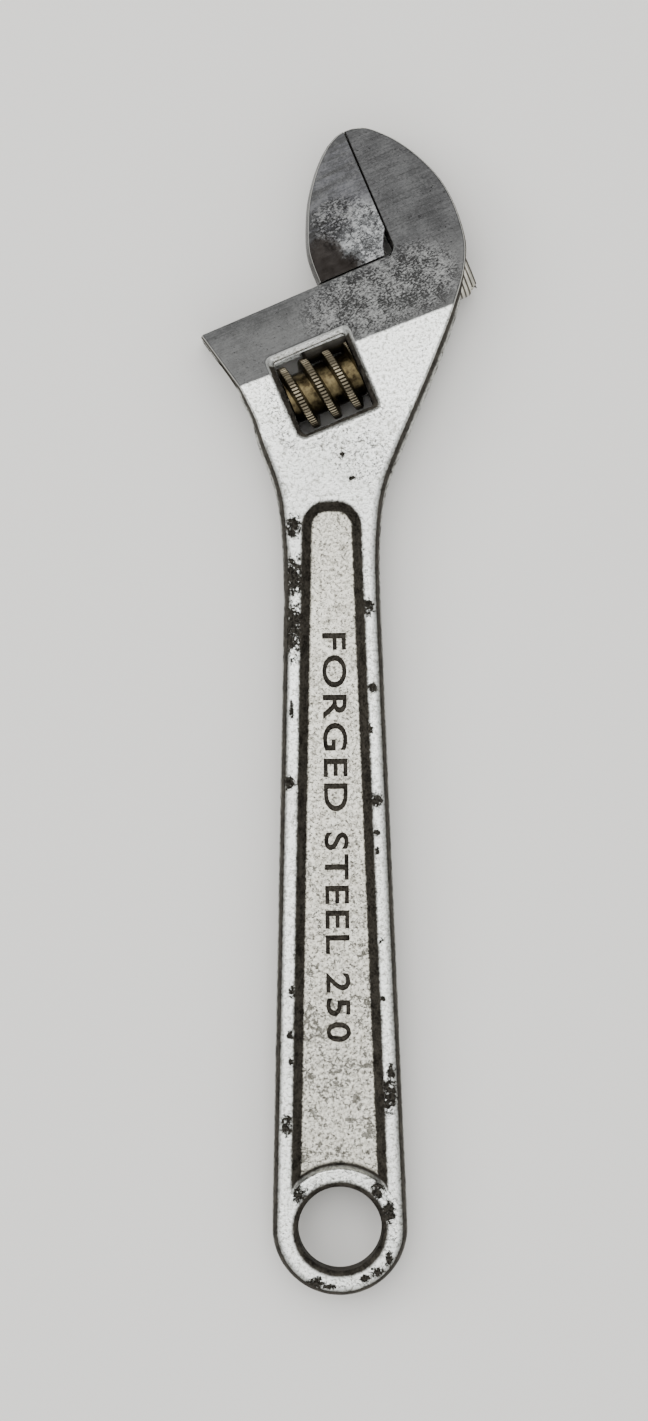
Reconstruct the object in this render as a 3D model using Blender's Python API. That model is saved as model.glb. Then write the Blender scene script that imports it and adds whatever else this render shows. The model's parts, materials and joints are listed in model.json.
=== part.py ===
"""Adjustable wrench, 254 mm (10 in) long, with its jaws closed.

The wrench lies on its back: +Y runs along the handle to the head, +X is to the right and +Z is up
through the thickness. The origin is under the middle of the wrench's bounding box. The head has its
own frame, turned 22.5 degrees: u runs along the jaw's slide towards the fixed jaw, v runs up the jaws.
"""

import math

import bmesh
import bpy
from mathutils import Matrix, Vector

MM = 0.001
GAP = 0.35 * MM  # between faces that would touch
CURVE_STEP = 1.5 * MM  # between the points of a curved outline

# Handle, from the hanging hole's centre
HOLE_RADIUS = 9.1 * MM
HOLE_ROUNDING = 1.5 * MM
RING_RADIUS = 13.5 * MM
HANDLE_TAPER = math.radians(1.77)  # each edge, narrowing towards the head
WAIST_Y = 137 * MM
SIDE_DRAFT = 1.3 * MM  # how far a forged side stands out at mid-thickness
RING_THICKNESS = 10.0 * MM
WAIST_THICKNESS = 11.0 * MM
HEAD_THICKNESS = 15.6 * MM
NECK_END_Y = 181 * MM  # the full head thickness starts here
NECK_SLICES = 12

# Channel in each side of the handle
CHANNEL_DEPTH = 2.3 * MM
CHANNEL_WALL = 1.9 * MM  # the sloping wall's width in plan
CHANNEL_FOOT_Y = 15 * MM
CHANNEL_FOOT_HALF = 8.3 * MM  # floor's half width
CHANNEL_TOP_Y = 156 * MM
CHANNEL_TOP_HALF = 4.3 * MM
CHANNEL_TOP_RADIUS = 3.4 * MM
COLLAR_TOP_RADIUS = 13.0 * MM
COLLAR_FOOT_RADIUS = 14.3 * MM

# Head frame: its corner is where the slide meets the fixed jaw's face
HEAD_CORNER = Vector((14.8 * MM, 211.75 * MM, 0))
HEAD_ANGLE = math.radians(22.5)
JAW_DEPTH = 28.6 * MM
CORNER_FILLET = 2.2 * MM
NOSE_U = -45.9 * MM

# Round slide bar of the movable jaw
BAR_V = -8.9 * MM
BAR_RADIUS = 5.6 * MM
BAR_CLEARANCE = 0.15 * MM
BAR_START_U = -27.5 * MM
BAR_END_U = 13.5 * MM
BAR_CHAMFER = 0.7 * MM
WEB_START_U = -17.6 * MM
WEB_ROUND_U = -5.4 * MM  # centre of the web's round end, and of its slot's
WEB_THICKNESS = 5.6 * MM
SLOT_WIDTH = 6.2 * MM
BLADE_THICKNESS = 15.4 * MM
BLADE_DRAFT = 0.7 * MM

# Window that the knurl sits in
WINDOW_U = (-34.2 * MM, -17.3 * MM)
WINDOW_V = (-28.5 * MM, -11.5 * MM)
WINDOW_BEVEL = 1.45 * MM

# Knurl, a right-handed worm along u
KNURL_V = -20.2 * MM
KNURL_PITCH = 5.08 * MM
KNURL_RADIUS = 7.6 * MM
KNURL_ROOT_RADIUS = 5.2 * MM
KNURL_CREST = 1.3 * MM
KNURL_FLANK = math.radians(14)
KNURL_U = (-33.85 * MM, -17.65 * MM)
KNURL_CREST_U = -26.7 * MM  # where a crest faces straight up
RACK_CLEARANCE = 0.25 * MM

# Pin and spring inside the knurl
PIN_RADIUS = 2.0 * MM
PIN_THREAD_RADIUS = 2.75 * MM
PIN_U = (-42.9 * MM, -13.6 * MM)
PIN_SHOULDER_U = -34.75 * MM
PIN_SLOT = (1.0 * MM, 1.2 * MM)  # width, depth
PIN_CLEARANCE = 0.15 * MM
SPRING_WIRE = 0.7 * MM
SPRING_RADIUS = 2.85 * MM
SPRING_TURNS = 3.5
SPRING_POCKET = (3.7 * MM, 4.6 * MM)  # radius, depth in the knurl's end

# Middle of the whole wrench's bounding box, from the hanging hole's centre
MIDDLE = Vector((2.19 * MM, 112.2 * MM, 0))

STEEL = (0.56, 0.57, 0.57)
BRIGHT_STEEL = (0.66, 0.66, 0.64)
BRASSY = (0.45, 0.37, 0.23)
DARK_STEEL = (0.20, 0.19, 0.18)


# ---------------------------------------------------------------- helpers


def clear_scene():
    for thing in list(bpy.data.objects):
        bpy.data.objects.remove(thing, do_unlink=True)


def material(name, colour, roughness, metallic=1.0):
    made = bpy.data.materials.new(name)
    made.use_nodes = True
    shader = made.node_tree.nodes["Principled BSDF"]
    shader.inputs["Base Color"].default_value = (*colour, 1)
    shader.inputs["Roughness"].default_value = roughness
    shader.inputs["Metallic"].default_value = metallic
    return made


def mesh_object(name, mesh, parent=None, location=(0, 0, 0)):
    made = bpy.data.objects.new(name, mesh)
    bpy.context.scene.collection.objects.link(made)
    made.parent = parent
    made.location = location
    return made


def finish_mesh(name, shape):
    """Turns the bmesh into a mesh whose faces point out."""
    bmesh.ops.recalc_face_normals(shape, faces=shape.faces)
    mesh = bpy.data.meshes.new(name)
    shape.to_mesh(mesh)
    shape.free()
    return mesh


def loft(name, loops):
    """A closed solid through loops of the same number of points."""
    shape = bmesh.new()
    rows = [[shape.verts.new(point) for point in loop] for loop in loops]
    count = len(loops[0])
    for lower, upper in zip(rows, rows[1:]):
        for i in range(count):
            j = (i + 1) % count
            shape.faces.new((lower[i], lower[j], upper[j], upper[i]))
    shape.faces.new(rows[0])
    shape.faces.new(rows[-1])
    return finish_mesh(name, shape)


def turned(name, profile, steps=56):
    """A solid turned about the X axis from (x, radius) points; its ends are closed on the axis."""
    shape = bmesh.new()
    first = shape.verts.new((profile[0][0], 0, 0))
    last = shape.verts.new((profile[-1][0], 0, 0))
    rings = []
    for x, radius in profile:
        angles = (math.tau * k / steps for k in range(steps))
        rings.append([shape.verts.new((x, radius * math.cos(a), radius * math.sin(a))) for a in angles])
    for k in range(steps):
        after = (k + 1) % steps
        shape.faces.new((first, rings[0][k], rings[0][after]))
        shape.faces.new((last, rings[-1][k], rings[-1][after]))
        for lower, upper in zip(rings, rings[1:]):
            shape.faces.new((lower[k], lower[after], upper[after], upper[k]))
    return finish_mesh(name, shape)


def combine(target, operation, other, is_cutter=True):
    modifier = target.modifiers.new(other.name, "BOOLEAN")
    modifier.operation = operation
    modifier.object = other
    if is_cutter:
        other.hide_render = True
        other.display_type = "WIRE"


def apply_modifiers(target):
    graph = bpy.context.evaluated_depsgraph_get()
    target.data = bpy.data.meshes.new_from_object(target.evaluated_get(graph))
    target.modifiers.clear()


def smooth_curve(points, step=CURVE_STEP):
    """Points along a Catmull-Rom curve through (x, y, draft) points, without the last one."""
    knots = [Vector(p) for p in points]
    knots = [2 * knots[0] - knots[1], *knots, 2 * knots[-1] - knots[-2]]
    made = []
    for before, start, end, after in zip(knots, knots[1:], knots[2:], knots[3:]):
        count = max(1, round((end.xy - start.xy).length / step))
        for k in range(count):
            t = k / count
            made.append(
                0.5
                * (
                    2 * start
                    + (end - before) * t
                    + (2 * before - 5 * start + 4 * end - after) * t**2
                    + (3 * start - before - 3 * end + after) * t**3
                )
            )
    return made


def arc(centre, radius, start, end, steps, draft=0.0):
    """Points on an arc, angles in degrees, both ends included."""
    made = []
    for k in range(steps + 1):
        angle = math.radians(start + (end - start) * k / steps)
        made.append(
            Vector((centre[0] + radius * math.cos(angle), centre[1] + radius * math.sin(angle), draft))
        )
    return made


def from_head(u, v, draft=0.0):
    """A head point, in the handle's frame; its third value, the draft, is kept."""
    flat = Matrix.Rotation(HEAD_ANGLE, 3, "Z") @ Vector((u, v, 0)) + HEAD_CORNER
    return Vector((flat.x, flat.y, draft))


def outward(start, end):
    """The outward normal of an edge of a counterclockwise outline."""
    along = (end.xy - start.xy).normalized()
    return Vector((along.y, -along.x))


def drafted_loops(outline, thickness, levels=(-1, -0.85, -0.6, -0.3, 0, 0.3, 0.6, 0.85, 1)):
    """Loops of a forged side: it stands out by each point's draft at mid-thickness, and curves in to the faces.

    A point's draft is that of the edge that leaves it, so a machined edge with none stays flat.
    """
    count = len(outline)
    shifts = []
    for i, point in enumerate(outline):
        before, after = outline[i - 1], outline[(i + 1) % count]
        normal_in, normal_out = outward(before, point), outward(point, after)
        draft_in, draft_out = before.z, point.z
        cross = normal_in.x * normal_out.y - normal_in.y * normal_out.x
        if abs(cross) < 0.2:
            shifts.append((normal_in + normal_out).normalized() * (draft_in + draft_out) / 2)
        else:
            shifts.append(
                Vector(
                    (
                        (draft_in * normal_out.y - draft_out * normal_in.y) / cross,
                        (draft_out * normal_in.x - draft_in * normal_out.x) / cross,
                    )
                )
            )
    loops = []
    for level in levels:
        spread = 1 - level**2
        loops.append(
            [
                (p.x + s.x * spread, p.y + s.y * spread, level * thickness / 2)
                for p, s in zip(outline, shifts)
            ]
        )
    return loops


# ---------------------------------------------------------------- wrench body


def body_outline():
    """The body's upper face, counterclockwise from the left side of the ring."""
    side = math.degrees(HANDLE_TAPER)
    waist = RING_RADIUS / math.cos(HANDLE_TAPER) - WAIST_Y * math.tan(HANDLE_TAPER)
    ring = arc((0, 0), RING_RADIUS, 180 - side, 360 + side, 56, SIDE_DRAFT)
    right = smooth_curve(
        [
            (waist, WAIST_Y, SIDE_DRAFT),
            (9.3 * MM, 148 * MM, SIDE_DRAFT),
            (10.6 * MM, 160 * MM, 1.5 * MM),
            (14.6 * MM, 171 * MM, 1.8 * MM),
            (20.4 * MM, 184 * MM, 1.8 * MM),
            (25.0 * MM, 195 * MM, 1.6 * MM),
            from_head(7.2 * MM, -14.9 * MM, 1.2 * MM),
            from_head(11.7 * MM, -9.3 * MM, 0.8 * MM),
            from_head(14.5 * MM, -3.3 * MM, 0.6 * MM),
            from_head(15.4 * MM, 4.3 * MM, 0.6 * MM),
            from_head(14.7 * MM, 11.0 * MM, 0.6 * MM),
            from_head(12.3 * MM, 17.3 * MM, 0.6 * MM),
            from_head(9.2 * MM, 22.4 * MM, 0.6 * MM),
            from_head(5.6 * MM, 26.3 * MM, 0.6 * MM),
            from_head(3.6 * MM, 27.6 * MM, 0.6 * MM),
            from_head(1.7 * MM, 28.2 * MM, 0.6 * MM),
            from_head(0, JAW_DEPTH - 0.3 * MM),
        ]
    )
    fillet = [
        from_head(p.x, p.y)
        for p in arc((-CORNER_FILLET, CORNER_FILLET), CORNER_FILLET, 0, -90, 8)
    ]
    jaw_and_slide = [from_head(0, JAW_DEPTH - 0.3 * MM), *fillet, from_head(NOSE_U, 0, 0.5 * MM)]
    left = smooth_curve(
        [
            from_head(-42.6 * MM, -14.0 * MM, 1.0 * MM),
            from_head(-42.2 * MM, -20.5 * MM, 1.2 * MM),
            (-14.4 * MM, 171 * MM, 1.5 * MM),
            (-10.7 * MM, 160 * MM, 1.4 * MM),
            (-9.5 * MM, 148 * MM, SIDE_DRAFT),
            (-waist, WAIST_Y, SIDE_DRAFT),
        ]
    )
    return [*ring, *right, *jaw_and_slide, *left, Vector((-waist, WAIST_Y, SIDE_DRAFT))]


def thickness_at(y):
    """The body's thickness: a slow taper along the handle, then a smooth rise to the head."""
    slope = (WAIST_THICKNESS - RING_THICKNESS) / WAIST_Y
    handle = RING_THICKNESS + slope * y
    t = min(max((y - WAIST_Y) / (NECK_END_Y - WAIST_Y), 0), 1)
    rise = t * t * (3 - 2 * t)
    return handle + (HEAD_THICKNESS - handle) * rise


def channel_loop(spread, z):
    """The channel's outline, spread outwards from its floor's, at a height."""
    tilt = math.atan2(CHANNEL_FOOT_HALF - CHANNEL_TOP_HALF, CHANNEL_TOP_Y - CHANNEL_FOOT_Y)
    start = 4 * MM  # inside the ring, where the collar trims it
    half = CHANNEL_FOOT_HALF + (CHANNEL_FOOT_Y - start) * math.tan(tilt) + spread
    radius = CHANNEL_TOP_RADIUS + spread
    centre = (CHANNEL_TOP_HALF - CHANNEL_TOP_RADIUS, CHANNEL_TOP_Y - CHANNEL_TOP_RADIUS)
    right = arc(centre, radius, math.degrees(tilt), 90, 12)
    left = [Vector((-p.x, p.y, 0)) for p in reversed(right)]
    plan = [Vector((-half, start, 0)), Vector((half, start, 0)), *right, *left]
    return [(p.x, p.y, z) for p in plan]


def channel_cutter(side, parent):
    """One side's channel, with its end trimmed by the collar round the hanging hole."""
    face = WAIST_THICKNESS / 2
    over = 0.6 * MM
    slope = CHANNEL_WALL / CHANNEL_DEPTH
    loops = [
        channel_loop(0, side * (face - CHANNEL_DEPTH)),
        channel_loop(CHANNEL_WALL + over * slope, side * (face + over)),
    ]
    channel = mesh_object("channel_cutter", loft("channel_cutter", loops), parent)
    lean = (COLLAR_FOOT_RADIUS - COLLAR_TOP_RADIUS) / CHANNEL_DEPTH
    collar_mesh = turned(
        "collar",
        [
            (face - CHANNEL_DEPTH - over, COLLAR_FOOT_RADIUS + over * lean),
            (face + 2 * over, COLLAR_TOP_RADIUS - 2 * over * lean),
        ],
        96,
    )
    collar_mesh.transform(Matrix.Rotation(-side * math.pi / 2, 4, "Y"))
    combine(channel, "DIFFERENCE", mesh_object("collar_cutter", collar_mesh, parent))
    apply_modifiers(channel)
    return channel


def hanging_hole_cutter(parent):
    """The hole with its edges rounded on both faces."""
    half = RING_THICKNESS / 2
    profile = [(-half - 1 * MM, HOLE_RADIUS + HOLE_ROUNDING)]
    for k in range(6):
        angle = math.radians(90 * k / 5)
        profile.append(
            (
                -half + HOLE_ROUNDING * (1 - math.cos(angle)),
                HOLE_RADIUS + HOLE_ROUNDING * (1 - math.sin(angle)),
            )
        )
    profile += [(-x, radius) for x, radius in reversed(profile)]
    mesh = turned("hanging_hole_cutter", profile, 96)
    mesh.transform(Matrix.Rotation(math.pi / 2, 4, "Y"))
    return mesh_object("hanging_hole_cutter", mesh, parent)


def shape_thickness(target):
    """Slices the neck across and gives every point the thickness of its place."""
    shape = bmesh.new()
    shape.from_mesh(target.data)
    for k in range(NECK_SLICES + 1):
        y = WAIST_Y + (NECK_END_Y - WAIST_Y) * k / NECK_SLICES
        geometry = [*shape.verts, *shape.edges, *shape.faces]
        bmesh.ops.bisect_plane(shape, geom=geometry, dist=1e-7, plane_co=(0, y, 0), plane_no=(0, 1, 0))
    for vert in shape.verts:
        vert.co.z *= thickness_at(vert.co.y) / WAIST_THICKNESS
    shape.to_mesh(target.data)
    shape.free()


def window_cutter(parent):
    """The knurl's window, bevelled on both faces."""
    face = HEAD_THICKNESS / 2
    over = 1 * MM
    corner = 0.9 * MM

    def loop(spread, z):
        (left, right), (bottom, top) = WINDOW_U, WINDOW_V
        radius = corner + spread * 0.3
        inset = radius - spread
        centres = [
            ((right - inset, top - inset), 0),
            ((left + inset, top - inset), 90),
            ((left + inset, bottom + inset), 180),
            ((right - inset, bottom + inset), 270),
        ]
        plan = [p for centre, start in centres for p in arc(centre, radius, start, start + 90, 3)]
        return [(p.x, p.y, z) for p in plan]

    loops = [
        loop(WINDOW_BEVEL + over, -face - over),
        loop(0, -face + WINDOW_BEVEL),
        loop(0, face - WINDOW_BEVEL),
        loop(WINDOW_BEVEL + over, face + over),
    ]
    return mesh_object("window_cutter", loft("window_cutter", loops), parent)


def slot_cutter(parent):
    """The slot for the movable jaw's web, open at the nose and round at the fixed jaw."""
    half = SLOT_WIDTH / 2
    beyond = NOSE_U - 4 * MM
    end = arc((WEB_ROUND_U, 0), half, -90, 90, 12)
    plan = [*end, Vector((beyond, half, 0)), Vector((beyond, -half, 0))]
    loops = [[(p.x, v, p.y) for p in plan] for v in (BAR_V, 2 * MM)]
    return mesh_object("slot_cutter", loft("slot_cutter", loops), parent)


def wrench_body(parent, head, look):
    mesh = loft("wrench_body", drafted_loops(body_outline(), WAIST_THICKNESS))
    body = mesh_object("wrench_body", mesh, parent)
    for side in (1, -1):
        combine(body, "DIFFERENCE", channel_cutter(side, parent))
    apply_modifiers(body)
    shape_thickness(body)
    combine(body, "DIFFERENCE", hanging_hole_cutter(parent))
    combine(body, "DIFFERENCE", window_cutter(head))
    combine(body, "DIFFERENCE", slot_cutter(head))
    bore = [(NOSE_U - 5 * MM, BAR_RADIUS + BAR_CLEARANCE), (22 * MM, BAR_RADIUS + BAR_CLEARANCE)]
    bore_cutter = mesh_object("bar_bore_cutter", turned("bar_bore_cutter", bore), head, (0, BAR_V, 0))
    combine(body, "DIFFERENCE", bore_cutter)
    wide = PIN_THREAD_RADIUS + PIN_CLEARANCE
    narrow = PIN_RADIUS + PIN_CLEARANCE
    hole = [
        (NOSE_U - 3 * MM, wide),
        (PIN_SHOULDER_U + 1 * MM, wide),
        (PIN_SHOULDER_U + 1 * MM, narrow),
        (PIN_U[1] + GAP, narrow),
    ]
    hole_cutter = mesh_object("pin_hole_cutter", turned("pin_hole_cutter", hole, 32), head, (0, KNURL_V, 0))
    combine(body, "DIFFERENCE", hole_cutter)
    body.data.materials.append(look)
    return body


# ---------------------------------------------------------------- movable jaw


def blade_outline():
    """The blade, counterclockwise in head coordinates, from its lower inner corner."""
    low = GAP
    face = -GAP
    inner = [
        Vector((-2.6 * MM, low, 0)),
        Vector((-2.2 * MM, 2.2 * MM, 0)),
        Vector((-1.1 * MM, 4.3 * MM, 0)),
        Vector((face, 5.7 * MM, 0)),
        Vector((face, JAW_DEPTH - 0.3 * MM, BLADE_DRAFT)),
    ]
    outer = smooth_curve(
        [
            (-1.9 * MM, 28.0 * MM, BLADE_DRAFT),
            (-4.4 * MM, 26.8 * MM, BLADE_DRAFT),
            (-7.7 * MM, 24.0 * MM, BLADE_DRAFT),
            (-10.6 * MM, 20.7 * MM, BLADE_DRAFT),
            (-13.6 * MM, 16.2 * MM, BLADE_DRAFT),
            (-16.8 * MM, 9.0 * MM, BLADE_DRAFT),
            (-17.6 * MM, 4.8 * MM, BLADE_DRAFT),
            (-17.7 * MM, low, BLADE_DRAFT),
        ]
    )
    return [*inner, *outer, Vector((-17.7 * MM, low, 0))]


def thread_ridge(name, start, end, clearance=0.0, steps=48):
    """The worm's ridge as a solid wound round the X axis; clearance makes the cutter for its rack."""
    top = KNURL_RADIUS + clearance
    foot = KNURL_ROOT_RADIUS - 0.6 * MM
    crest = KNURL_CREST / 2 + clearance
    base = crest + (top - foot) * math.tan(KNURL_FLANK)
    section = [(-base, foot), (-crest, top), (crest, top), (base, foot)]
    first = math.floor((start - KNURL_CREST_U) / KNURL_PITCH) - 1
    last = math.ceil((end - KNURL_CREST_U) / KNURL_PITCH) + 1
    loops = []
    for k in range((last - first) * steps + 1):
        turn = first + k / steps
        angle = math.pi / 2 + math.tau * turn
        x = KNURL_CREST_U + KNURL_PITCH * turn
        loops.append(
            [(x + along, radius * math.cos(angle), radius * math.sin(angle)) for along, radius in section]
        )
    return loft(name, loops)


def movable_jaw(head, look):
    """Blade, web and toothed round bar in one piece; its origin is on the bar's axis."""
    loops = drafted_loops(blade_outline(), BLADE_THICKNESS)
    mesh = loft("movable_jaw", loops)
    mesh.transform(Matrix.Translation((0, -BAR_V, 0)))
    jaw = mesh_object("movable_jaw", mesh, head, (0, BAR_V, 0))
    half = WEB_THICKNESS / 2
    end = arc((WEB_ROUND_U, 0), half, -90, 90, 12)
    plan = [*end, Vector((WEB_START_U, half, 0)), Vector((WEB_START_U, -half, 0))]
    web_loops = [[(p.x, v, p.y) for p in plan] for v in (0, 1.5 * MM - BAR_V)]
    combine(jaw, "UNION", mesh_object("jaw_web", loft("jaw_web", web_loops), jaw))
    bar = [
        (BAR_START_U, BAR_RADIUS - BAR_CHAMFER),
        (BAR_START_U + BAR_CHAMFER, BAR_RADIUS),
        (BAR_END_U - BAR_CHAMFER, BAR_RADIUS),
        (BAR_END_U, BAR_RADIUS - BAR_CHAMFER),
    ]
    combine(jaw, "UNION", mesh_object("jaw_bar", turned("jaw_bar", bar), jaw))
    rack = thread_ridge("rack_cutter", BAR_START_U, BAR_END_U, RACK_CLEARANCE)
    combine(jaw, "DIFFERENCE", mesh_object("rack_cutter", rack, head, (0, KNURL_V, 0)))
    jaw.data.materials.append(look)
    return jaw


# ---------------------------------------------------------------- knurl, pin and spring


def knurl(head, look):
    """The worm, with a plain bore and a spring pocket in the end on the screw's side."""
    start, end = KNURL_U
    core = [(start - 2 * MM, KNURL_ROOT_RADIUS), (end + 2 * MM, KNURL_ROOT_RADIUS)]
    worm = mesh_object("knurl", turned("knurl", core, 48), head, (0, KNURL_V, 0))
    combine(worm, "UNION", mesh_object("knurl_ridge", thread_ridge("knurl_ridge", start, end), worm))
    trim = turned("knurl_trim", [(start, KNURL_RADIUS + 1 * MM), (end, KNURL_RADIUS + 1 * MM)], 24)
    combine(worm, "INTERSECT", mesh_object("knurl_trim", trim, worm))
    bore = PIN_RADIUS + PIN_CLEARANCE
    pocket_radius, pocket_depth = SPRING_POCKET
    profile = [
        (start - 1 * MM, pocket_radius),
        (start + pocket_depth, pocket_radius),
        (start + pocket_depth, bore),
        (end + 1 * MM, bore),
    ]
    combine(worm, "DIFFERENCE", mesh_object("knurl_bore", turned("knurl_bore", profile, 32), worm))
    worm.data.materials.append(look)
    return worm


def knurl_pin(head, look):
    """The screw that the knurl turns on: a slotted threaded end and a plain shank."""
    start, end = PIN_U
    chamfer = 0.4 * MM
    profile = [
        (start, PIN_THREAD_RADIUS - chamfer),
        (start + chamfer, PIN_THREAD_RADIUS),
        (PIN_SHOULDER_U, PIN_THREAD_RADIUS),
        (PIN_SHOULDER_U + chamfer, PIN_RADIUS),
        (end - chamfer, PIN_RADIUS),
        (end, PIN_RADIUS - chamfer),
    ]
    pin = mesh_object("knurl_pin", turned("knurl_pin", profile, 32), head, (0, KNURL_V, 0))
    width, depth = PIN_SLOT
    reach = 4 * MM
    plan = [(-reach, -width / 2), (reach, -width / 2), (reach, width / 2), (-reach, width / 2)]
    loops = [[(x, y, z) for y, z in plan] for x in (start - 1 * MM, start + depth)]
    combine(pin, "DIFFERENCE", mesh_object("pin_slot_cutter", loft("pin_slot_cutter", loops), pin))
    pin.data.materials.append(look)
    return pin


def knurl_spring(head, look):
    """The coil spring round the pin, between the window's wall and the pocket's floor."""
    start = WINDOW_U[0] + SPRING_WIRE / 2 + 0.15 * MM
    end = KNURL_U[0] + SPRING_POCKET[1] - SPRING_WIRE / 2 - 0.2 * MM
    per_turn = 14
    count = round(SPRING_TURNS * per_turn)
    curve = bpy.data.curves.new("knurl_spring", "CURVE")
    curve.dimensions = "3D"
    curve.bevel_depth = SPRING_WIRE / 2
    curve.bevel_resolution = 1
    curve.use_fill_caps = True
    coil = curve.splines.new("POLY")
    coil.points.add(count)
    for k, point in enumerate(coil.points):
        angle = math.tau * k / per_turn
        x = start + (end - start) * k / count
        point.co = (x, SPRING_RADIUS * math.cos(angle), SPRING_RADIUS * math.sin(angle), 1)
    spring = mesh_object("knurl_spring", curve, head, (0, KNURL_V, 0))
    curve.materials.append(look)
    return spring


def shade(things):
    for thing in things:
        if thing.type == "MESH":
            thing.data.shade_smooth()
            thing.data.set_sharp_from_angle(angle=math.radians(30))


def main():
    clear_scene()
    wrench = bpy.data.objects.new("wrench_frame", None)
    head = bpy.data.objects.new("head_frame", None)
    for empty in (wrench, head):
        bpy.context.scene.collection.objects.link(empty)
    wrench.location = Vector((0, 0, HEAD_THICKNESS / 2)) - MIDDLE
    head.parent = wrench
    head.location = HEAD_CORNER
    head.rotation_euler.z = HEAD_ANGLE
    bpy.context.view_layer.update()
    shade(
        [
            wrench_body(wrench, head, material("satin_chrome", STEEL, 0.38)),
            movable_jaw(head, material("ground_steel", BRIGHT_STEEL, 0.32)),
            knurl(head, material("worn_brassy_steel", BRASSY, 0.42)),
            knurl_pin(head, material("blackened_steel", DARK_STEEL, 0.5)),
            knurl_spring(head, material("spring_steel", STEEL, 0.35)),
        ]
    )


main()
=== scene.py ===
"""The finished look of a 10 inch adjustable wrench: a worn satin chrome forging with ground jaws.

It is laid out as an add-on and is run as a script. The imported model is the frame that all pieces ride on.
"""

import json
import math
from functools import partial

import bmesh
import bpy
from mathutils import Matrix, Vector


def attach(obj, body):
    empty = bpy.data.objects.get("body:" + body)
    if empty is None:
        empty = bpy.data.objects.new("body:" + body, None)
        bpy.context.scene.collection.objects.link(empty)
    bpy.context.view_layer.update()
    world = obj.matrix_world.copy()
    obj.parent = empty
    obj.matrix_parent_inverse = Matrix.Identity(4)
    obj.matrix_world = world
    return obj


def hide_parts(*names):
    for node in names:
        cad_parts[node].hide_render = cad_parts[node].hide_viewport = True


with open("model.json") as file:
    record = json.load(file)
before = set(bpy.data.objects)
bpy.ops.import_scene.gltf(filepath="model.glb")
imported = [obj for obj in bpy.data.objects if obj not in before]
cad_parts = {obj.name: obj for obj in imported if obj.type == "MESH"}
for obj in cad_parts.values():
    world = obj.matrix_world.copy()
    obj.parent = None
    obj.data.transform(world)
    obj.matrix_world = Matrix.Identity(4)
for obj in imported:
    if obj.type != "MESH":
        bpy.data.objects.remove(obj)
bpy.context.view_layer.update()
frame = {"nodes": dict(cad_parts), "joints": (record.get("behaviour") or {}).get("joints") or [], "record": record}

bl_info = {
    "name": "Adjustable Wrench",
    "version": (1, 0, 0),
    "blender": (4, 5, 0),
    "location": "View3D > Sidebar > Wrench",
    "description": "Builds the pieces and finishes of a worn adjustable wrench",
    "category": "Object",
}

MM = 0.001
JOINTS = {joint["name"]: joint for joint in frame["joints"]}
OPENINGS = {box["name"]: box["box_m"] for box in frame["record"]["physics"]["openings"]}

# The worm's axis carries the head's own directions: u along the jaw's slide, v up the jaws.
WORM_CENTRE = Vector(JOINTS["worm_spin"]["pos_m"])
U = Vector(JOINTS["worm_spin"]["axis"]).normalized()
V = Vector((0, 0, 1)).cross(U)
HEAD_ANGLE = math.atan2(U.y, U.x)
CORNER_U, CORNER_V = 25.75, 20.2  # mm from the worm's centre to the corner of the fixed jaw
HEAD_CORNER = WORM_CENTRE + U * CORNER_U * MM + V * CORNER_V * MM
MIDDLE_Z = WORM_CENTRE.z
RING_CENTRE = (Vector(OPENINGS["hanging_hole"][0]) + Vector(OPENINGS["hanging_hole"][1])) / 2
RING_CENTRE.z = MIDDLE_Z

# In mm from the hanging hole. The handle's and the channel's half widths shrink along y
HANDLE_HALF, HANDLE_TAPER = 8.73, 0.0284
CHANNEL_HALF, CHANNEL_TAPER = 5.36, 0.0282
CHANNEL_END, CHANNEL_CORNER = 152.6, 3.4
FLOOR_HEIGHT, FLOOR_RISE = 2.909, 0.00212  # of the channel's floor above the middle, and its slope
RING_HOLE = 11.5
NECK_START, NECK_LENGTH, HEAD_START = 160, 22, 182


# ---------------------------------------------------------------- sizes and colours


def linear(colour):
    """An sRGB hex colour as the linear RGBA that a shader takes."""
    values = [int(colour[i : i + 2], 16) / 255 for i in (1, 3, 5)]
    return (*[c / 12.92 if c <= 0.04045 else ((c + 0.055) / 1.055) ** 2.4 for c in values], 1)


COLOUR = {"size": 4, "subtype": "COLOR", "min": 0.0, "max": 1.0}


class WrenchBodySettings(bpy.types.PropertyGroup):
    """The forged body"""

    edge_radius: bpy.props.FloatProperty(
        name="Edge radius",
        description="Rounding of the handle's outer edges",
        default=1.15 * MM,
        unit="LENGTH",
    )
    mark: bpy.props.StringProperty(
        name="Mark",
        description="Words stamped in the channel's floor",
        default="FORGED STEEL 250",
    )
    mark_height: bpy.props.FloatProperty(
        name="Mark height",
        description="Height of the stamped capitals",
        default=5.3 * MM,
        unit="LENGTH",
    )
    mark_length: bpy.props.FloatProperty(
        name="Mark length",
        description="Length of the stamped line",
        default=89 * MM,
        unit="LENGTH",
    )
    mark_depth: bpy.props.FloatProperty(
        name="Mark depth",
        description="Depth of the stamped line",
        default=0.4 * MM,
        unit="LENGTH",
    )
    plate: bpy.props.FloatVectorProperty(
        name="Plate",
        description="Colour of clean satin chrome",
        default=linear("#EEEFEB"),
        **COLOUR,
    )
    bare: bpy.props.FloatVectorProperty(
        name="Bare metal",
        description="Darkened steel where the plate is gone",
        default=linear("#211F1B"),
        **COLOUR,
    )
    # Kept dark to paint in the dark reflection that ground steel shows when seen from above, over its own grey
    ground: bpy.props.FloatVectorProperty(
        name="Ground face",
        description="Ground steel of the head",
        default=linear("#313131"),
        **COLOUR,
    )


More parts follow.
